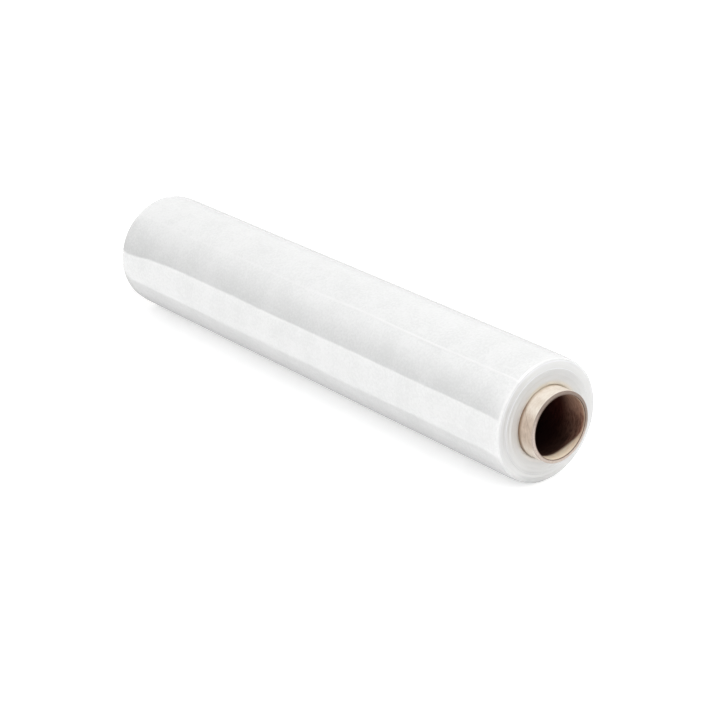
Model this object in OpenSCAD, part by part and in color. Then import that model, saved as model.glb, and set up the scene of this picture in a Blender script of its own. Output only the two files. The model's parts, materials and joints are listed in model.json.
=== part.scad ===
// A roll of clear stretch film on a paper tube, lying on its side.
// +X runs along the roll towards its near end, +Z is up, and the origin is the middle of the
// footprint, on the surface that the roll lies on. All sizes are in millimetres.

/* [Film winding] */
// Width of the film, along the roll
film_width = 500; // [250:5:1000]
// Outer diameter of the winding
film_od = 99; // [80:1:160]
// Width of the flat spot that the roll's own weight presses underneath
flat_w = 14; // [8:1:24]

/* [Ends of the winding] */
// Length over which the outermost turns draw in at each end
shoulder_len = 13; // [6:1:30]
// How much smaller the winding's radius is where the shoulder ends
shoulder_drop = 0.7; // [0.4:0.1:3]
// Rounding between the shoulder and the end face
rim_round = 2.5; // [1:0.1:4]
// Radial width of the outer band of turns, which lies a little below the rest
band_w = 8; // [5:0.5:10]
// Radial width of the slope from the rest of the end face down to that band
band_slope_w = 2; // [0.5:0.25:4]
// How far the outer band lies below the rest of the end face
band_step = 0.4; // [0.2:0.1:2]
// Spacing of the rings that the turns show in the end face
ring_pitch = 2; // [1:0.25:4]
// Depth of those rings
ring_depth = 0.3; // [0.1:0.05:0.6]
// Width of the hollow beside the core, where the first turns lie lower
neck_w = 1.4; // [0.6:0.1:3]
// Depth of that hollow
neck_depth = 1; // [0.4:0.1:3]

/* [Free end of the film] */
// Where the free end lies, in degrees from the +Y side up over the top
tail_angle = 127; // [95:1:170]
// Height of the step at the free end
tail_step = 0.3; // [0.1:0.05:0.8]
// Length next to each shoulder where the last turn lies flush with the rest
tail_margin = 2; // [1:0.5:20]

/* [Core tube] */
// Bore of the tube
core_id = 50; // [30:1:66]
// Wall of the tube
core_wall = 3; // [1.5:0.5:6]
// Length of tube that stands out of the winding at each end
core_stick_out = 14; // [2:1:40]
// Bevel on the tube's cut edges
core_bevel = 0.4; // [0.2:0.1:1]

/* [Hidden] */
$fn = 180;
film_r = film_od / 2;
half_film = film_width / 2;
core_r = core_id / 2 + core_wall;
half_core = half_film + core_stick_out;
// Height of the roll's axis above the surface, with the flat spot pressed down onto it
axis_h = sqrt(pow(film_r, 2) - pow(flat_w / 2, 2));
shoulder_r = film_r - shoulder_drop;
band_r = film_r - band_w;
ring_start = core_r + neck_w;
rim_start = shoulder_r - rim_round;
// Depth below the end face at which the shoulder begins
rim_depth = band_step + rim_round;
shoulder_steps = 6;
rim_steps = 6;
// Extra length that carries a cut past the solid it cuts
past = 1;

// The end face and shoulder as [radius, depth below the end face], from the core outwards
function neck_points() = [[core_r, neck_depth], [core_r + neck_w / 2, neck_depth]];
// Ridges with a groove between each two, from first_r to short of last_r
function ring_points(first_r, last_r, depth) =
    let (count = ceil((last_r - first_r) / ring_pitch) - 1)
        concat([[first_r, depth]], [
            for (i = [1 : 1 : count])
                each [
                    [first_r + (i - 0.5) * ring_pitch, depth + ring_depth],
                    [first_r + i * ring_pitch, depth]
                ]
        ]);
function rim_points() = [
    for (i = [0 : rim_steps])
        let (a = 90 * i / rim_steps)
            [rim_start + rim_round * sin(a), rim_depth - rim_round * cos(a)]
];
function shoulder_points() = [
    for (i = [1 : shoulder_steps])
        let (t = i / shoulder_steps)
            [film_r - shoulder_drop * pow(1 - t, 2), rim_depth + (shoulder_len - rim_depth) * t]
];
function end_points() = concat(
    neck_points(),
    ring_points(ring_start, band_r - band_slope_w, 0),
    [[band_r - band_slope_w, 0]],
    ring_points(band_r, rim_start, band_step),
    rim_points(),
    shoulder_points()
);

// Turns a solid made about Z so that it lies along X at the roll's height
module lay_down() {
    translate([0, 0, axis_h])
        rotate([0, 90, 0])
            children();
}

// All the turns between the two end faces
module turns() {
    near = [for (p = end_points()) [p[0], half_film - p[1]]];
    far = [for (i = [len(near) - 1 : -1 : 0]) [near[i][0], -near[i][1]]];
    rotate_extrude()
        polygon(concat(near, far));
}

// The last turn, which stands proud at the film's free end and runs in a quarter turn further on
module last_turn() {
    length = film_width - 2 * (shoulder_len + tail_margin);
    translate([0, 0, axis_h])
        rotate([tail_angle, 0, 0])
            intersection() {
                translate([0, tail_step, 0])
                    rotate([0, 90, 0])
                        difference() {
                            cylinder(h = length, r = film_r, center = true);
                            cylinder(h = length + 2 * past, r = core_r + neck_w, center = true);
                        }
                translate([-half_film, 0, 0])
                    cube([film_width, film_od, film_od]);
            }
}

module film_winding() {
    color([0.93, 0.94, 0.93])
        intersection() {
            union() {
                lay_down()
                    turns();
                last_turn();
            }
            // Everything below the flat spot is pressed away
            translate([-film_width, -film_od, 0])
                cube([2 * film_width, 2 * film_od, 2 * film_od]);
        }
}

module core_tube() {
    color([0.80, 0.66, 0.50])
        lay_down()
            rotate_extrude()
                polygon([
                    [core_id / 2, -half_core + core_bevel],
                    [core_id / 2 + core_bevel, -half_core],
                    [core_r - core_bevel, -half_core],
                    [core_r, -half_core + core_bevel],
                    [core_r, half_core - core_bevel],
                    [core_r - core_bevel, half_core],
                    [core_id / 2 + core_bevel, half_core],
                    [core_id / 2, half_core - core_bevel]
                ]);
}

core_tube();
film_winding();
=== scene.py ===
"""A roll of clear stretch film on a paper tube: its detailed pieces, their materials and a plain studio."""

import json
import math

import bpy
import numpy as np
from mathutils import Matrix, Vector


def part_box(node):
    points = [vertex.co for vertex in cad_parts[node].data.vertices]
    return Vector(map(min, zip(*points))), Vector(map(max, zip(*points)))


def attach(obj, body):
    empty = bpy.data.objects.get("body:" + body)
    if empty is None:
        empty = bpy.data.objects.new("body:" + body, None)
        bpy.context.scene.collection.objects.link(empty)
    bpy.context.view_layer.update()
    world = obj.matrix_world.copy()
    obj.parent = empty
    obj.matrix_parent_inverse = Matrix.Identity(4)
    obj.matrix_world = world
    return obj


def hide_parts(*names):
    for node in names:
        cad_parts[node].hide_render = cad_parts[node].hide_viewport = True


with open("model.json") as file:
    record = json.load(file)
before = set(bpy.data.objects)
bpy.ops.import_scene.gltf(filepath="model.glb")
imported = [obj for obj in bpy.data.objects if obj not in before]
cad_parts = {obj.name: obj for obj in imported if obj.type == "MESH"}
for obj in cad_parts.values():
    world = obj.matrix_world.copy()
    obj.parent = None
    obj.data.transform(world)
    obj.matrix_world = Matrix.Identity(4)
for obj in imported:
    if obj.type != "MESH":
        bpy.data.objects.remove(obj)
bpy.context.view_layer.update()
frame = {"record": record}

# Sizes that come from the frame, in metres. The roll lies along X.
MM = 0.001
bore = next(m for m in frame["record"]["mounts"] if m["name"] == "core_bore")
AXIS_H = bore["pos_m"][2]
BORE_R = bore["dims"]["r_mm"] * MM
_, film_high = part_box("film_winding")
core_low, core_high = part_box("core_tube")
FILM_R = film_high.z - AXIS_H
HALF_FILM = film_high.x
CORE_R = (core_high.z - core_low.z) / 2
HALF_CORE = core_high.x

# The camera, at the photograph's viewing angle
CAMERA_FROM_ROLL = Vector((1.3269, -1.0363, 0.6486))
CAMERA_TURN = math.radians(38.60)
CAMERA_TILT = math.radians(21.95)
CAMERA_LENS = 110.15
CAMERA_SENSOR = 36.0


def add_object(name, data):
    thing = bpy.data.objects.new(name, data)
    bpy.context.scene.collection.objects.link(thing)
    return thing


def turned_to(way):
    """The rotation of a camera or a lamp that looks this way."""
    return way.to_track_quat("-Z", "Y").to_euler()


def add_camera():
    back = Vector((
        math.cos(CAMERA_TILT) * math.cos(CAMERA_TURN),
        -math.cos(CAMERA_TILT) * math.sin(CAMERA_TURN),
        math.sin(CAMERA_TILT),
    ))
    camera = add_object("camera", bpy.data.cameras.new("camera"))
    camera.location = Vector((0, 0, AXIS_H)) + CAMERA_FROM_ROLL
    camera.rotation_euler = turned_to(-back)
    camera.data.lens = CAMERA_LENS
    camera.data.sensor_width = CAMERA_SENSOR
    bpy.context.scene.camera = camera


# Mesh helpers. A row of points runs round the roll and a column along it. The even columns are
# this many degrees apart, and a long stretch between the ends has this many bands of quads.
COLUMN_STEP = 1.5
LONG_ROWS = 118


def smooth_step(low, high, value):
    t = np.clip((value - low) / (high - low), 0, 1)
    return t * t * (3 - 2 * t)


def bump(centre, width, value):
    """A rounded hump, 1 at the centre and 0 beyond width on either side of it."""
    return np.clip(1 - ((value - centre) / width) ** 2, 0, 1) ** 2


def half_turn(angle):
    """The same angle, from half a turn back to half a turn on."""
    return np.mod(angle + math.pi, 2 * math.pi) - math.pi


def waves(kind, x, angle):
    """A sum of gentle waves over the roll's surface, about 1 high, that closes on itself around the
    roll. A kind is a seed, a count, the shortest and the longest wave in metres, and the most times
    that a wave may twist round the roll."""
    seed, count, shortest, longest, most_turns = kind
    chance = np.random.default_rng(seed)
    total = np.zeros(np.broadcast(x, angle).shape)
    for _ in range(count):
        length = chance.uniform(shortest, longest)
        turns = chance.integers(-most_turns, most_turns + 1)
        phase = chance.uniform(0, 2 * math.pi)
        total += np.sin(2 * math.pi * x / length + turns * angle + phase)
    return total / math.sqrt(count)


def columns(first, at, close, clear):
    """Even columns from an angle in degrees all round, with close ones at an angle where the surface
    has a crisp line, and none of the even ones within a clear distance of it."""
    even = np.radians(np.arange(first, first + 360, COLUMN_STEP))
    return np.sort(np.concatenate([even[np.abs(even - at) > clear], at + close]))


def mirrored(near):
    """The far end's rows, made from the near end's. A row's slot is that of the band of quads that
    starts at it, so the slots move up by one row."""
    far = [(-x, r, slot) for x, r, slot in reversed(near)]
    return [(x, r, far[min(i + 1, len(far) - 1)][2]) for i, (x, r, _) in enumerate(far)]


def revolve(name, rows, angles, shape, slots, marks):
    """A closed ring of quads. rows is a list of (x, r, slot), from the near end's hole outwards, along
    the outside and back to the hole. shape gives each point's x, r and angle from those values, and
    marks are values that the mesh carries at each point."""
    x = np.array([row[0] for row in rows])[:, None]
    r = np.array([row[1] for row in rows])[:, None]
    angle = np.array(angles)[None, :]
    x, r, angle = np.broadcast_arrays(*shape(x, r, angle))
    points = np.stack([x, r * np.cos(angle), AXIS_H + r * np.sin(angle)], axis=-1)
    # No point goes below the surface that the roll lies on, which leaves its flat spot
    points[..., 2] = np.maximum(points[..., 2], 0)
    down, around = len(rows), len(angles)
    i, j = np.meshgrid(np.arange(down), np.arange(around), indexing="ij")
    i_next, j_next = (i + 1) % down, (j + 1) % around
    corners = [i * around + j, i_next * around + j, i_next * around + j_next, i * around + j_next]
    faces = np.stack(corners, axis=-1).reshape(-1, 4)
    mesh = bpy.data.meshes.new(name)
    mesh.from_pydata(points.reshape(-1, 3).tolist(), [], faces.tolist())
    slot_of_row = np.array([row[2] for row in rows])
    mesh.polygons.foreach_set("material_index", np.repeat(slot_of_row, around))
    mesh.polygons.foreach_set("use_smooth", np.ones(len(faces), bool))
    for material in slots:
        mesh.materials.append(material)
    for mark, value in marks.items():
        layer = mesh.attributes.new(mark, "FLOAT", "POINT")
        layer.data.foreach_set("value", value(x, r, angle).ravel().astype(np.float32))
    return add_object(name, mesh)


# The film winding. Lengths are in millimetres until the rows are made.
OUTSIDE, END_FACE = 0, 1
SHOULDER_LEN = 13.0
SHOULDER_DROP = 0.7
SHOULDER_ROWS = 10
RIM_ROUND = 2.5
RIM_ROWS = 10
# Rows of the rim that still belong to the end face
RIM_FACE_ROWS = 3
# The outer band of turns lies a step lower than the rest, and a slope between these radii leads
# down to it
BAND_START = FILM_R / MM - 10.0
BAND_END = FILM_R / MM - 8.0
BAND_STEP = 0.4
# The hollow beside the core: its bottom is flat for a part of its width, and beyond its width the
# end face slopes down towards it
NECK_W = 0.75
NECK_DEPTH = 2.2
NECK_FLAT = 0.6
NECK_SLOPE_DEPTH = 0.5
# Radii at which turns stand proud of the end face as a lip. The outer one lies where the rim
# rounds off, so of its lip little more than its painted glint is left.
LIPS = (41.0, 46.6)
LIP_W = 0.42
LIP_H = 0.36
LIP_ROWS = 9
# The rings in the end face: how far they lie in or out by chance, and their least and most spacing
RING_SEED = 11
RING_JITTER = 0.025
RING_GAP = (0.2, 0.35)
# A painted highlight line where the rim meets the outside: its strength, how far in it lies, and its width
RIM_LINE = 0.6
RIM_LINE_IN = 0.35
RIM_LINE_W = 0.45
# The relief of the outside, and the painted highlight line of the free end, grow from nothing to
# full between these depths below the outside
RELIEF_FADE = (3.0, 1.0)
TAIL_LINE_FADE = (2.2, 1.2)
# The free end of the film: the height of its step and of the bead on its edge, the bead's width
# either way, and how far round the step runs in
TAIL_ANGLE = math.radians(127)
TAIL_STEP = 0.25
TAIL_BEAD = 0.3
TAIL_BEAD_W = math.radians(1.9)
TAIL_RUN_IN = math.pi / 2
# Columns of points beside the free end, in degrees from it
TAIL_COLUMNS = (-1.9, -1.4, -0.9, -0.45, -0.1, 0.1, 0.45, 0.9, 1.4, 1.9)
TAIL_CLEAR = math.radians(2.2)
# The step, and the painted highlight line along it, grow between these places along the roll, in metres
TAIL_RISE = (-0.02, 0.12)
TAIL_LINE_RISE = (-0.02, 0.10)
TAIL_LINE_LEAST = 0.25
# The free end wanders by about this angle, and takes the film this far round with it
TAIL_WANDER = math.radians(0.45)
TAIL_WANDER_W = math.radians(9)
TAIL_WAVES = (6, 5, 0.06, 0.25, 0)
# Relief of the outside: a gentle swell, bands round the roll, and creases along it
SWELL_H = 0.06
SWELL_WAVES = (3, 14, 0.07, 0.3, 5)
HOOP_H = 0.005
HOOP_WAVES = (4, 16, 0.006, 0.03, 1)
CREASE_H = 0.006
CREASE_WAVES = (5, 14, 0.2, 0.9, 26)
# Groups of turns in the end faces lean in and out, on sides that change with the radius: the
# twist is in radians at the outside, and they lean fully from this far beyond the core
LEAN_H = 0.18
LEAN_WAVES = (7, 6, 0.004, 0.012, 0)
LEAN_TWIST = 40
LEAN_FROM_CORE = 3


def film_end_depth(r):
    """How deep below the end face a radius lies, between the hollow beside the core and the rim."""
    core_r = CORE_R / MM
    depth = BAND_STEP * float(smooth_step(BAND_START, BAND_END, r))
    depth -= LIP_H * sum(float(bump(lip, LIP_W, r)) for lip in LIPS)
    return depth + NECK_SLOPE_DEPTH * float(smooth_step(core_r + 2 * NECK_W, core_r + NECK_W, r))


def film_end_rows():
    """The near end's rows as (radius, depth below the end face, slot), from the core outwards, in mm."""
    core_r, film_r = CORE_R / MM, FILM_R / MM
    shoulder_r = film_r - SHOULDER_DROP
    rim_start = shoulder_r - RIM_ROUND
    rim_depth = BAND_STEP + RIM_ROUND
    chance = np.random.default_rng(RING_SEED)
    face = []
    r = core_r + NECK_W
    while r < rim_start - RING_GAP[0]:
        jitter = chance.uniform(-RING_JITTER, RING_JITTER)
        if min(abs(r - lip) for lip in LIPS) > LIP_W:
            face.append((r, film_end_depth(r) + jitter, END_FACE))
        r += chance.uniform(*RING_GAP)
    for lip in LIPS:
        for across in np.linspace(-LIP_W, LIP_W, LIP_ROWS):
            if lip + across < rim_start:
                face.append((lip + across, film_end_depth(lip + across), END_FACE))
    rows = [(core_r, NECK_DEPTH, END_FACE), (core_r + NECK_FLAT * NECK_W, NECK_DEPTH, END_FACE)]
    rows += sorted(face)
    for i in range(RIM_ROWS + 1):
        a = math.pi / 2 * i / RIM_ROWS
        rows.append((
            shoulder_r - RIM_ROUND * (1 - math.sin(a)),
            rim_depth - RIM_ROUND * math.cos(a),
            END_FACE if i < RIM_FACE_ROWS else OUTSIDE,
        ))
    for i in range(1, SHOULDER_ROWS + 1):
        t = i / SHOULDER_ROWS
        rows.append((
            film_r - SHOULDER_DROP * (1 - t) ** 2,
            rim_depth + (SHOULDER_LEN - rim_depth) * t,
            OUTSIDE,
        ))
    return rows


def film_rows():
    """The whole winding's rows: the near end, the outside and the far end."""
    near = [(HALF_FILM - depth * MM, r * MM, slot) for r, depth, slot in film_end_rows()]
    inner_x = near[-1][0]
    middle = [(inner_x * (1 - 2 * i / LONG_ROWS), FILM_R, OUTSIDE) for i in range(1, LONG_ROWS)]
    return near + middle + mirrored(near)


def to_outside(fade, r):
    """1 on the film's outside, and 0 further in than a fade."""
    deep, shallow = fade
    return smooth_step(FILM_R - deep * MM, FILM_R - shallow * MM, r)


def tail_wander(x, angle):
    """How far round the roll the free end of the film has wandered."""
    return TAIL_WANDER * waves(TAIL_WAVES, x, angle)


def tail_highlight_mark(x, r, angle):
    """Where a painted highlight goes: 1 along the edge of the free end, fading out towards the far end."""
    from_tail = half_turn(angle - tail_wander(x, angle) - TAIL_ANGLE)
    along = TAIL_LINE_LEAST + (1 - TAIL_LINE_LEAST) * smooth_step(*TAIL_LINE_RISE, x)
    return bump(0, TAIL_BEAD_W, from_tail) * to_outside(TAIL_LINE_FADE, r) * along


def rim_glint_mark(x, r, angle):
    """Where a painted glint goes: 1 along the lips of the end faces, and less along the line where the rim
    meets the outside.
    """
    rim_glint = RIM_LINE * bump(FILM_R - (SHOULDER_DROP + RIM_LINE_IN) * MM, RIM_LINE_W * MM, r)
    for lip in LIPS:
        rim_glint = rim_glint + bump(lip * MM, LIP_W * MM, r)
    return np.clip(rim_glint, 0, 1)


def film_shape(x, r, angle):
    """Lays the relief of the film over the winding's plain rows and columns."""
    on_outside = to_outside(RELIEF_FADE, r)
    # The last turn stands proud at its free end, more so towards the near end, and runs in further on
    proud = TAIL_STEP * smooth_step(*TAIL_RISE, x)
    past_tail = np.mod(angle - TAIL_ANGLE, 2 * math.pi)
    step = proud * np.clip(1 - past_tail / TAIL_RUN_IN, 0, 1)
    from_tail = half_turn(angle - TAIL_ANGLE)
    bead = TAIL_BEAD / TAIL_STEP * proud * bump(0, TAIL_BEAD_W, from_tail)
    swell = SWELL_H * waves(SWELL_WAVES, x, angle)
    hoops = HOOP_H * waves(HOOP_WAVES, x, angle)
    creases = CREASE_H * waves(CREASE_WAVES, x, angle)
    out = on_outside * (step + bead + swell + hoops + creases) * MM
    angle = angle + tail_wander(x, angle) * bump(0, TAIL_WANDER_W, from_tail)
    lean = LEAN_H * waves(LEAN_WAVES, r, angle) * np.sin(angle + LEAN_TWIST * r / FILM_R)
    dish = (1 - on_outside) * smooth_step(CORE_R, CORE_R + LEAN_FROM_CORE * MM, r) * lean * MM
    return x - np.sign(x) * dish, r + out, angle


# The core tube. Lengths are in metres.
OUTER_PAPER, CUT_EDGE, LINER = 0, 1, 2
# The cut edge: how far back its two borders lie, its plies, and how far each second one is proud
CORE_EDGE = 0.35 * MM
PLIES = 8
PLY_PROUD = 0.05 * MM
# Close rows go from the cut edge to this many millimetres past the bottom of the film's hollow
CLOSE_ROWS = 20
PAST_HOLLOW = 1
# The seam of the spiral winding, a groove outside and in the bore
SEAM_PITCH = 0.140
SEAM_AT = math.radians(-138)
SEAM_W = math.radians(1.3)
SEAM_DEPTH = 0.14 * MM
# Columns of points across the seam, and the even ones that make room for them, in seam widths
SEAM_COLUMNS = np.array([-1, -0.6, -0.25, 0, 0.25, 0.6, 1])
SEAM_CLEAR = 1.2
# The paper's ripple, its share in the bore, and the play with which a row counts as on a surface
RIPPLE_H = 0.03 * MM
RIPPLE_WAVES = (8, 8, 0.05, 0.3, 5)
BORE_RIPPLE = 0.5
SURFACE_PLAY = 0.01 * MM


def core_rows():
    """Close rows where the tube shows outside the film, and longer ones inside the film and the bore."""
    wall = CORE_R - BORE_R
    start = HALF_CORE - CORE_EDGE
    hidden = HALF_FILM - (NECK_DEPTH + PAST_HOLLOW) * MM
    near = []
    for i in range(PLIES + 1):
        at_border = i in (0, PLIES)
        x = start if at_border else HALF_CORE + PLY_PROUD * (i % 2)
        near.append((x, BORE_R + wall * i / PLIES, CUT_EDGE))
    close = [start + (hidden - start) * i / CLOSE_ROWS for i in range(1, CLOSE_ROWS + 1)]
    near += [(x, CORE_R, OUTER_PAPER) for x in close]
    middle = [(hidden * (1 - 2 * i / LONG_ROWS), CORE_R, OUTER_PAPER) for i in range(1, LONG_ROWS)]
    far = mirrored(near)
    # The bore's first band of quads starts at the far end's last row
    far[-1] = (far[-1][0], far[-1][1], LINER)
    inside = [(start * (2 * i / LONG_ROWS - 1), BORE_R, LINER) for i in range(1, LONG_ROWS)]
    return near + middle + far + inside


def seam_turn(x):
    """How far round the tube the seam has wound at a place along it."""
    return 2 * math.pi * x / SEAM_PITCH


def seam_mark(x, r, angle):
    """1 along the seam of the spiral winding."""
    return bump(0, SEAM_W, half_turn(angle - seam_turn(x) - SEAM_AT))


def core_shape(x, r, angle):
    """The columns follow the seam of the spiral winding round the tube, so that it stays crisp."""
    groove = SEAM_DEPTH * bump(SEAM_AT, SEAM_W, angle)
    on_outside = r > CORE_R - SURFACE_PLAY
    in_bore = r < BORE_R + SURFACE_PLAY
    ripple = RIPPLE_H * waves(RIPPLE_WAVES, x, angle)
    r = r + (ripple - groove) * on_outside + (ripple * BORE_RIPPLE + groove) * in_bore
    return x, r, angle + seam_turn(x)


# Materials. Unless a comment says more, a pair of colours is the darker and the paler parts of one
# surface. Places round the roll's axis are in degrees, from +Y up over the top.
WHITE = (1.0, 1.0, 1.0)
# The range of a noise that is drawn out to the whole way from 0 to 1
NOISE_RANGE = (0.36, 0.64)
# Light enters the film, under a hard glossy coat
FILM_BODY = {
    "IOR": 1.5,
    "Subsurface Weight": 0.8,
    "Subsurface Radius": (1.0, 1.0, 1.0),
    "Subsurface Scale": 0.02,
    "Coat Weight": 1.0,
}
FILM_COLOURS = ((0.825, 0.832, 0.828), (0.925, 0.932, 0.928))
# The end face beside the core and at the rim
END_COLOURS = ((0.75, 0.75, 0.74), (0.765, 0.768, 0.765))
END_RING_COLOUR = (0.94, 0.945, 0.94)
# A grey for painted shade on one band of the end face, also used where its outer turns are darker
END_DARK_COLOUR = (0.60, 0.60, 0.60)
# A painted glint, pale and bluish, on the lips of the end faces
END_LIP_GLINT_COLOUR = (0.94, 0.95, 1.0)
# The tube's colour as it would show through the clear film, painted onto the end face, low down and on the
# upper side
CORE_THROUGH_FILM = ((0.96, 0.91, 0.85), (0.84, 0.76, 0.61))
CREAM_COLOURS = ((0.80, 0.695, 0.585), (0.96, 0.88, 0.78))
# Tan for painted shade down one side of the tube's outside
TAN_SHADE_COLOURS = ((0.52, 0.40, 0.31), (0.70, 0.56, 0.45))
# Painted shade where the tube goes into the hollow beside the film
FILM_SHADOW_COLOUR = (0.40, 0.29, 0.21)
SEAM_COLOUR = (0.25, 0.16, 0.10)
CUT_COLOURS = ((0.54, 0.44, 0.38), (0.76, 0.66, 0.59))
CUT_DARK_COLOUR = (0.16, 0.105, 0.08)
CUT_PATCH_COLOUR = (0.05, 0.03, 0.025)
CUT_BORDER_COLOUR = (0.15, 0.095, 0.07)
LINER_COLOURS = ((0.21, 0.095, 0.068), (0.44, 0.24, 0.17))
# Painted light: a paler colour for the liner's upper side
LINER_LIT_COLOUR = (0.58, 0.38, 0.28)
# Painted shade: the liner's colours deep in the tube
LINER_DEEP_SHADE_COLOURS = ((0.05, 0.012, 0.009), (0.10, 0.024, 0.018))
LINER_SHADED_COLOUR = (0.008, 0.002, 0.0015)
# A painted pool of light just inside the ends, mostly low down
LINER_LIGHT_POOL_COLOURS = ((1.0, 0.80, 0.60), (1.0, 0.90, 0.72))
# Where the rim and the lips carry their painted glint, where the end face has painted shade and where it is
# darker, and its upper side
RIM_GLINT_AT = 112
END_SHADE_AT = 95
END_DARKER_AT = 172
END_HIGH_AT = 85
# Where the tube has painted shade outside, down one side and along the film, where its cut edge is darker
# and has a dark patch, and where painted light makes it paler inside
TAN_SHADE_AT = 176
FILM_SHADOW_AT = 178
CUT_DARK_AT = 70
CUT_PATCH_AT = 130
LINER_LIT_AT = 55
DOWN = -90


class Nodes:
    """A short way to build a material's node tree."""

    def __init__(self, name):
        self.material = bpy.data.materials.new(name)
        self.material.use_nodes = True
        self.tree = self.material.node_tree
        self.shader = self.tree.nodes["Principled BSDF"]
        self.output = self.tree.nodes["Material Output"]
        self.place = self.add("ShaderNodeTexCoord").outputs["Object"]

    def add(self, kind, **settings):
        node = self.tree.nodes.new(kind)
        for key, value in settings.items():
            setattr(node, key, value)
        return node

    def link(self, source, target):
        self.tree.links.new(source, target)

    def put(self, target, value):
        if isinstance(value, bpy.types.NodeSocket):
            self.link(value, target)
        else:
            target.default_value = value

    def math(self, operation, a, b=0.0, c=0.0):
        node = self.add("ShaderNodeMath", operation=operation)
        for target, value in zip(node.inputs, (a, b, c)):
            self.put(target, value)
        return node.outputs[0]

    def times(self, a, b):
        return self.math("MULTIPLY", a, b)

    def blend(self, a, share, b):
        """A share of one value and the rest of another."""
        return self.math("ADD", self.times(a, share), self.times(b, 1 - share))

    def ramp(self, value, span, levels=(0.0, 1.0)):
        """Goes smoothly from one level to the other as the value goes through the span."""
        node = self.add("ShaderNodeMapRange", interpolation_type="SMOOTHSTEP")
        names = ("Value", "From Min", "From Max", "To Min", "To Max")
        for name, item in zip(names, (value, *span, *levels)):
            self.put(node.inputs[name], item)
        return node.outputs["Result"]

    def mix(self, factor, a, b):
        node = self.add("ShaderNodeMix", data_type="RGBA")
        self.put(node.inputs["Factor"], factor)
        self.put(node.inputs["A"], (*a, 1) if isinstance(a, tuple) else a)
        self.put(node.inputs["B"], (*b, 1) if isinstance(b, tuple) else b)
        return node.outputs["Result"]

    def noise(self, place, scale, detail, roughness):
        node = self.add("ShaderNodeTexNoise")
        self.put(node.inputs["Vector"], place)
        node.inputs["Scale"].default_value = scale
        node.inputs["Detail"].default_value = detail
        node.inputs["Roughness"].default_value = roughness
        return node.outputs["Fac"]

    def ring_noise(self, radius, scale, detail, roughness):
        """Noise that only changes with the distance from the roll's axis."""
        place = self.add("ShaderNodeCombineXYZ")
        self.link(radius, place.inputs["X"])
        return self.noise(place.outputs[0], scale, detail, roughness)

    def stretch(self, place, x, y, z):
        node = self.add("ShaderNodeMapping")
        self.put(node.inputs["Vector"], place)
        node.inputs["Scale"].default_value = (x, y, z)
        return node.outputs["Vector"]

    def paper_fibre(self):
        """Noise drawn out round the tube, as paper fibres are."""
        place = self.stretch(self.place, 1, 0.3, 0.3)
        return self.noise(place, scale=700, detail=4, roughness=0.7)

    def bump(self, height, distance, strength):
        node = self.add("ShaderNodeBump")
        self.put(node.inputs["Height"], height)
        node.inputs["Distance"].default_value = distance
        node.inputs["Strength"].default_value = strength
        return node.outputs["Normal"]

    def mark(self, name):
        """A value that the mesh carries at each point."""
        return self.add("ShaderNodeAttribute", attribute_name=name).outputs["Fac"]

    def coordinate(self, axis):
        parts = self.add("ShaderNodeSeparateXYZ")
        self.link(self.place, parts.inputs[0])
        return parts.outputs[axis]

    def flat(self):
        """The place across the roll, measured from its axis."""
        flat = self.add("ShaderNodeCombineXYZ")
        self.link(self.coordinate("Y"), flat.inputs["Y"])
        self.link(self.math("SUBTRACT", self.coordinate("Z"), AXIS_H), flat.inputs["Z"])
        return flat.outputs[0]

    def radius(self):
        """Distance from the roll's axis."""
        length = self.add("ShaderNodeVectorMath", operation="LENGTH")
        self.link(self.flat(), length.inputs[0])
        return length.outputs["Value"]

    def along(self):
        """Distance from the roll's middle, along its axis."""
        return self.math("ABSOLUTE", self.coordinate("X"))

    def towards(self, degrees):
        """1 on the side of the roll that faces this way round its axis, 0 square to it and -1 opposite."""
        a = math.radians(degrees)
        flat = self.add("ShaderNodeVectorMath", operation="NORMALIZE")
        self.link(self.flat(), flat.inputs[0])
        dot = self.add("ShaderNodeVectorMath", operation="DOT_PRODUCT")
        self.link(flat.outputs[0], dot.inputs[0])
        dot.inputs[1].default_value = (0, math.cos(a), math.sin(a))
        return dot.outputs["Value"]

    def side(self, degrees, span, levels=(0.0, 1.0)):
        """A ramp over the side that faces this way round the axis."""
        return self.ramp(self.towards(degrees), span, levels)

    def dress(self, colour, normal, settings):
        """Gives the shader its colour and bumps, and sets its other values on its own sockets."""
        self.link(colour, self.shader.inputs["Base Color"])
        self.link(normal, self.shader.inputs["Normal"])
        for name, value in settings.items():
            self.shader.inputs[name].default_value = value
        return self.material

    def glow(self, strength):
        """Takes away the shader and makes a glow in its place."""
        self.tree.nodes.remove(self.shader)
        node = self.add("ShaderNodeEmission")
        self.link(strength, node.inputs["Strength"])
        return node.outputs[0]

    def show(self, surface):
        """Makes this the surface that the material shows."""
        self.link(surface, self.output.inputs["Surface"])
        return self.material


def film_outside():
    """Pale, slightly cloudy film under a hard gloss, with painted highlights that make it whiter along the
    free end and the rim.
    """
    n = Nodes("film_outside")
    cloud = n.noise(n.place, scale=38, detail=4, roughness=0.6)
    streak = n.noise(n.stretch(n.place, 1, 0.12, 0.12), scale=260, detail=2, roughness=0.5)
    grain = n.noise(n.place, scale=520, detail=3, roughness=0.65)
    colour = n.mix(n.ramp(n.blend(cloud, 0.45, grain), NOISE_RANGE), *FILM_COLOURS)
    # Painted glint: whiter along the rim, most on the upper side towards -Y
    rim_glint = n.times(n.mark("rim_glint"), n.side(RIM_GLINT_AT, (0.2, 0.9), (0.1, 1.0)))
    # Painted highlight: whiter along the edge of the free end, and along the rim's painted glint
    colour = n.mix(n.math("MAXIMUM", n.mark("free_end_highlight"), rim_glint), colour, WHITE)
    normal = n.bump(n.blend(grain, 0.8, streak), distance=0.1 * MM, strength=0.4)
    gloss = {"Roughness": 0.22, "Coat Roughness": 0.03, "Coat IOR": 2.15}
    return n.dress(colour, normal, {**FILM_BODY, **gloss})


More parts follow.
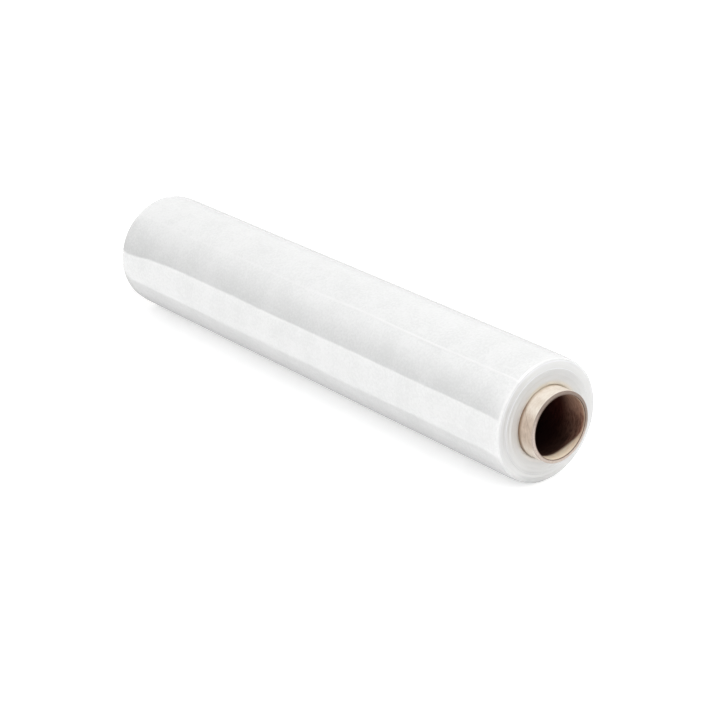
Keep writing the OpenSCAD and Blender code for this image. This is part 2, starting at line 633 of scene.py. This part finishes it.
def film_end():
    """The edges of the turns, in close rings."""
    n = Nodes("film_end")
    r = n.radius()
    rings = n.ring_noise(r, scale=1500, detail=3, roughness=0.6)
    cloud = n.noise(n.place, scale=60, detail=3, roughness=0.5)
    colour = n.mix(n.ramp(r, (CORE_R, FILM_R)), *END_COLOURS)
    colour = n.mix(n.times(rings, 0.25), colour, END_RING_COLOUR)
    # The tube's colour as it would show through the clear film beside it is painted onto the end face, more
    # so on the upper side
    near_core = n.ramp(r, (CORE_R + 1.5 * MM, CORE_R + 5 * MM), (0.95, 0.0))
    colour = n.mix(near_core, colour, n.mix(n.side(END_HIGH_AT, (0.3, 1.0)), *CORE_THROUGH_FILM))
    # Painted shade: one band of turns is darker on the upper side
    band_shade = n.times(n.ramp(r, (30 * MM, 36 * MM)), n.ramp(r, (39 * MM, 42 * MM), (1.0, 0.0)))
    band_shade = n.times(band_shade, n.side(END_SHADE_AT, (0.0, 0.9), (0.0, 0.5)))
    colour = n.mix(band_shade, colour, END_DARK_COLOUR)
    # The outer turns are darker down the -Y side
    darker_side = n.times(n.ramp(r, (37 * MM, 42 * MM)), n.side(END_DARKER_AT, (0.5, 1.0), (0.0, 0.55)))
    colour = n.mix(darker_side, colour, END_DARK_COLOUR)
    # Painted glint: paler and bluish on the lips, most on the upper side towards -Y
    lip_glints = n.times(n.mark("rim_glint"), n.side(RIM_GLINT_AT, (0.2, 0.9), (0.3, 1.0)))
    colour = n.mix(lip_glints, colour, END_LIP_GLINT_COLOUR)
    normal = n.bump(n.blend(rings, 0.8, cloud), distance=0.2 * MM, strength=0.5)
    gloss = {"Roughness": 0.3, "Coat Roughness": 0.1, "Coat IOR": 1.8}
    return n.dress(colour, normal, {**FILM_BODY, **gloss})


def core_outside():
    """Cream paper, with painted shade that makes it browner down one side and along the film."""
    n = Nodes("core_outside")
    fibre = n.paper_fibre()
    blotch = n.noise(n.place, scale=110, detail=3, roughness=0.6)
    tone = n.ramp(n.blend(fibre, 0.5, blotch), NOISE_RANGE)
    # Painted shade: browner down the -Y side
    tan_shade = n.side(TAN_SHADE_AT, (0.80, 1.0), (0.0, 0.85))
    colour = n.mix(tan_shade, n.mix(tone, *CREAM_COLOURS), n.mix(tone, *TAN_SHADE_COLOURS))
    # Painted shade where the tube goes into the hollow beside the film, most down the -Y side
    by_film = n.ramp(n.along(), (HALF_FILM, HALF_FILM + 2.2 * MM), (1.0, 0.0))
    film_shadow = n.times(by_film, n.side(FILM_SHADOW_AT, (0.4, 1.0), (0.3, 1.0)))
    colour = n.mix(film_shadow, colour, FILM_SHADOW_COLOUR)
    colour = n.mix(n.times(n.mark("seam"), 0.4), colour, SEAM_COLOUR)
    normal = n.bump(fibre, distance=0.1 * MM, strength=0.5)
    return n.dress(colour, normal, {"Roughness": 0.75})


def core_cut_edge():
    """The tube's cut edge: grey-brown plies, dark along the bore and darker on the upper side."""
    n = Nodes("core_cut_edge")
    r = n.radius()
    plies = n.ring_noise(r, scale=2600, detail=1, roughness=0.5)
    fibre = n.noise(n.place, scale=900, detail=4, roughness=0.7)
    tone = n.blend(fibre, 0.5, plies)
    colour = n.mix(n.ramp(tone, NOISE_RANGE), *CUT_COLOURS)
    colour = n.mix(n.side(CUT_DARK_AT, (-0.25, 0.45), (0.0, 0.66)), colour, CUT_DARK_COLOUR)
    inner = n.ramp(r, (BORE_R + 0.4 * MM, BORE_R + 1.9 * MM), (0.9, 0.0))
    colour = n.mix(n.times(n.side(CUT_PATCH_AT, (0.5, 1.0)), inner), colour, CUT_PATCH_COLOUR)
    border = n.ramp(r, (BORE_R + 0.35 * MM, BORE_R + 0.85 * MM), (0.9, 0.0))
    colour = n.mix(border, colour, CUT_BORDER_COLOUR)
    normal = n.bump(tone, distance=0.2 * MM, strength=0.6)
    return n.dress(colour, normal, {"Roughness": 0.9, "Specular IOR Level": 0.2})


def core_liner():
    """Brown paper inside the tube, with a painted pool of light that makes it pale at the ends, mostly low
    down.
    """
    n = Nodes("core_liner")
    deep = n.math("SUBTRACT", HALF_CORE, n.along())
    down = n.towards(DOWN)
    fibre = n.paper_fibre()
    tone = n.ramp(fibre, NOISE_RANGE)
    near_end = n.mix(tone, *LINER_COLOURS)
    # Painted light: the liner is paler on its upper side
    near_end = n.mix(n.side(LINER_LIT_AT, (0.4, 1.0), (0.0, 0.5)), near_end, LINER_LIT_COLOUR)
    # Painted shade: the liner goes darker deeper into the tube
    colour = n.mix(n.ramp(deep, (8 * MM, 28 * MM)), near_end, n.mix(tone, *LINER_DEEP_SHADE_COLOURS))
    # Less light gets to the lower side, and hardly any gets deep into the tube
    shaded = n.times(n.ramp(deep, (0.5 * MM, 6 * MM), (0.0, 0.6)), n.ramp(down, (-0.3, 0.4)))
    shaded_low = n.times(n.ramp(deep, (7 * MM, 12 * MM), (0.0, 0.3)), n.ramp(down, (0.2, 0.8)))
    shaded = n.math("ADD", shaded, shaded_low)
    shaded = n.math("MAXIMUM", shaded, n.ramp(deep, (20 * MM, 70 * MM), (0.0, 0.85)))
    colour = n.mix(shaded, colour, LINER_SHADED_COLOUR)
    # The painted pool of light reaches deepest at the bottom
    low = n.ramp(down, (0.28, 1.05))
    reach = n.math("MULTIPLY_ADD", low, 5.6 * MM, 0.6 * MM)
    fade = n.math("MULTIPLY_ADD", low, 2.8 * MM, 1.2 * MM)
    light_pool = n.ramp(deep, (reach, n.math("ADD", reach, fade)), (1.0, 0.0))
    light_pool = n.times(light_pool, n.math("MULTIPLY_ADD", low, 0.6, 0.4))
    colour = n.mix(light_pool, colour, n.mix(tone, *LINER_LIGHT_POOL_COLOURS))
    normal = n.bump(fibre, distance=0.1 * MM, strength=0.5)
    return n.dress(colour, normal, {"Roughness": 0.8, "Specular IOR Level": 0.1})


# The studio, in metres. A level is the strength of a glow, where 1 is white.
FLOOR_SIZE = 12.0
FLOOR_UNDER = 0.2 * MM
FLOOR_COLOUR = (0.88, 0.88, 0.88, 1)
# The floor's glow near the roll and further out, and the distances between which it grows
FLOOR_LEVELS = (0.41, 0.6)
FLOOR_RISE = (0.12, 1.5)
WALL_R = 2.6
WALL_LOW = 0.05
WALL_TOP = 2.4
WALL_SIDES = 64
# The level at the bottom of the wall's grey sides, and that of its other sides with the height up
# to which they grow to white
WALL_GREY = 0.27
WALL_BRIGHT = 0.9
WALL_BRIGHT_TOP = 0.8
# The direction of one grey side, and the shares of the wall's radius between which it fades in
GREY_TOWARDS = math.radians(41)
GREY_RISE = (0.74, 0.92)
# The wall's level as a lamp, and that of the sky as a lamp and as it is seen
SIDE_LIGHT = 1.0
SKY_LIGHT = 0.60
SKY_SEEN = 1.0
# Flat cards on the floor as name, x range, y range, level, and level under the roll's axis
CARDS = [
    ("shade_card", (-0.36, HALF_CORE), (-1.2 * FILM_R, 0), 0.74, 0.5),
    ("back_card", (-2.4, 1.0), (0.10, 2.3), 0.80, 0.80),
]
# Distances to the side of the roll's axis between which a card goes to its own level
CARD_RISE = (0.2 * FILM_R, 1.2 * FILM_R)
# A card beyond the far end: the way to it and how far, the way to its right, its outline as
# distances to the right and up, and its level
FAR_CARD_WAY = (-0.8, -0.6)
FAR_CARD_OUT = 0.38
FAR_CARD_RIGHT = Vector((0.6, -0.8, 0))
FAR_CARD_OUTLINE = [
    (-0.5, 0.0), (0.0, 0.0), (0.012, 0.012), (0.03, 0.04), (0.06, 0.062), (0.10, 0.072), (-0.5, 0.072),
]
FAR_CARD_LEVEL = 0.18
# Lamps as name, place, width, depth, power in watts, and the point that they face
LAMPS = [
    ("key", (0.50, 0.05, 1.6), 1.4, 0.4, 4.8, (0, 0, 0.05)),
    ("front", (1.35, 0.14, 1.0), 0.9, 0.12, 1.5, (0.25, 0, 0.1)),
]


def add_mesh(name, points, faces, material):
    mesh = bpy.data.meshes.new(name)
    mesh.from_pydata(points, [], faces)
    mesh.materials.append(material)
    return add_object(name, mesh)


def seen_rays(tree):
    """1 for a ray that the camera sees straight, or mirrored or through a clear piece, and 0 for others."""
    path = tree.nodes.new("ShaderNodeLightPath")
    total = path.outputs["Is Camera Ray"]
    for kind in ("Is Glossy Ray", "Is Transmission Ray"):
        add = tree.nodes.new("ShaderNodeMath")
        tree.links.new(total, add.inputs[0])
        tree.links.new(path.outputs[kind], add.inputs[1])
        total = add.outputs[0]
    return total


def add_floor():
    n = Nodes("floor")
    diffuse = n.add("ShaderNodeBsdfDiffuse")
    diffuse.inputs["Color"].default_value = FLOOR_COLOUR
    distance = n.add("ShaderNodeVectorMath", operation="LENGTH")
    n.link(n.place, distance.inputs[0])
    level = n.ramp(distance.outputs["Value"], FLOOR_RISE, FLOOR_LEVELS)
    both = n.add("ShaderNodeAddShader")
    n.link(diffuse.outputs[0], both.inputs[0])
    n.link(n.glow(n.times(seen_rays(n.tree), level)), both.inputs[1])
    half = FLOOR_SIZE / 2
    ground = -FLOOR_UNDER
    corners = [(-half, -half, ground), (half, -half, ground), (half, half, ground), (-half, half, ground)]
    add_mesh("floor", corners, [(0, 1, 2, 3)], n.show(both.outputs[0]))


def add_wall():
    """A round backdrop that the film mirrors: white, but grey low down on two opposite sides. The
    camera looks through it."""
    n = Nodes("wall")
    height = n.coordinate("Z")
    grey = n.ramp(height, (WALL_LOW, WALL_TOP), (WALL_GREY, 1.0))
    bright = n.ramp(height, (WALL_LOW, WALL_BRIGHT_TOP), (WALL_BRIGHT, 1.0))
    across = n.times(n.coordinate("X"), math.cos(GREY_TOWARDS) / WALL_R)
    across = n.math("MULTIPLY_ADD", n.coordinate("Y"), math.sin(GREY_TOWARDS) / WALL_R, across)
    greyness = n.ramp(n.math("ABSOLUTE", across), GREY_RISE)
    mirrored_level = n.math("MULTIPLY_ADD", greyness, n.math("SUBTRACT", grey, bright), bright)
    more = n.math("SUBTRACT", mirrored_level, SIDE_LIGHT)
    level = n.math("MULTIPLY_ADD", seen_rays(n.tree), more, SIDE_LIGHT)
    points, faces = [], []
    for i in range(WALL_SIDES):
        a = 2 * math.pi * i / WALL_SIDES
        points += [(WALL_R * math.cos(a), WALL_R * math.sin(a), z) for z in (WALL_LOW, WALL_TOP)]
        j = (i + 1) % WALL_SIDES
        faces.append((2 * i, 2 * j, 2 * j + 1, 2 * i + 1))
    wall = add_mesh("wall", points, faces, n.show(n.glow(level)))
    wall.visible_camera = False


def add_card(name, corners, level, level_under):
    """A flat card that only mirror images show, with another level under the roll's axis."""
    n = Nodes(name)
    across = n.math("ABSOLUTE", n.coordinate("Y"))
    strength = n.ramp(across, CARD_RISE, (level_under, level))
    card = add_mesh(name, corners, [tuple(range(len(corners)))], n.show(n.glow(strength)))
    card.visible_camera = False
    card.visible_diffuse = False
    card.visible_shadow = False


def add_far_card():
    """A dark card that stands beyond the far end, low down, and shows in the film there."""
    way_x, way_y = FAR_CARD_WAY
    middle = Vector((-HALF_FILM + way_x * FAR_CARD_OUT, -FILM_R + way_y * FAR_CARD_OUT, 0))
    corners = [tuple(middle + right * FAR_CARD_RIGHT + Vector((0, 0, up))) for right, up in FAR_CARD_OUTLINE]
    add_card("far_card", corners, FAR_CARD_LEVEL, FAR_CARD_LEVEL)


def add_flat_card(name, x_range, y_range, level, level_under):
    """A card that lies on the floor."""
    (left, right), (front, back) = x_range, y_range
    corners = [(left, front, 0), (right, front, 0), (right, back, 0), (left, back, 0)]
    add_card(name, corners, level, level_under)


def add_lamp(name, place, width, depth, power, target):
    lamp = bpy.data.lights.new(name, "AREA")
    lamp.shape = "ELLIPSE"
    lamp.size = width
    lamp.size_y = depth
    lamp.energy = power
    thing = add_object(name, lamp)
    thing.location = place
    thing.rotation_euler = turned_to(Vector(target) - Vector(place))


def add_world():
    world = bpy.data.worlds.new("world")
    bpy.context.scene.world = world
    world.use_nodes = True
    back = world.node_tree.nodes["Background"]
    back.inputs["Color"].default_value = (*WHITE, 1)
    strength = world.node_tree.nodes.new("ShaderNodeMapRange")
    strength.inputs["To Min"].default_value = SKY_LIGHT
    strength.inputs["To Max"].default_value = SKY_SEEN
    world.node_tree.links.new(seen_rays(world.node_tree), strength.inputs["Value"])
    world.node_tree.links.new(strength.outputs["Result"], back.inputs["Strength"])


add_camera()

film_slots = [film_outside(), film_end()]
film_marks = {"free_end_highlight": tail_highlight_mark, "rim_glint": rim_glint_mark}
film_columns = columns(0, TAIL_ANGLE, np.radians(TAIL_COLUMNS), TAIL_CLEAR)
film = revolve("film_turns", film_rows(), film_columns, film_shape, film_slots, film_marks)
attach(film, "root")
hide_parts("film_winding")

core_slots = [core_outside(), core_cut_edge(), core_liner()]
core_marks = {"seam": seam_mark}
# The seam's angle is negative, so these columns start half a turn back
core_columns = columns(-180, SEAM_AT, SEAM_W * SEAM_COLUMNS, SEAM_CLEAR * SEAM_W)
core = revolve("core_paper_tube", core_rows(), core_columns, core_shape, core_slots, core_marks)
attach(core, "root")
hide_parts("core_tube")

add_floor()
add_wall()
add_far_card()
for card in CARDS:
    add_flat_card(*card)
add_world()
for lamp in LAMPS:
    add_lamp(*lamp)

bpy.context.scene.view_settings.view_transform = "Standard"
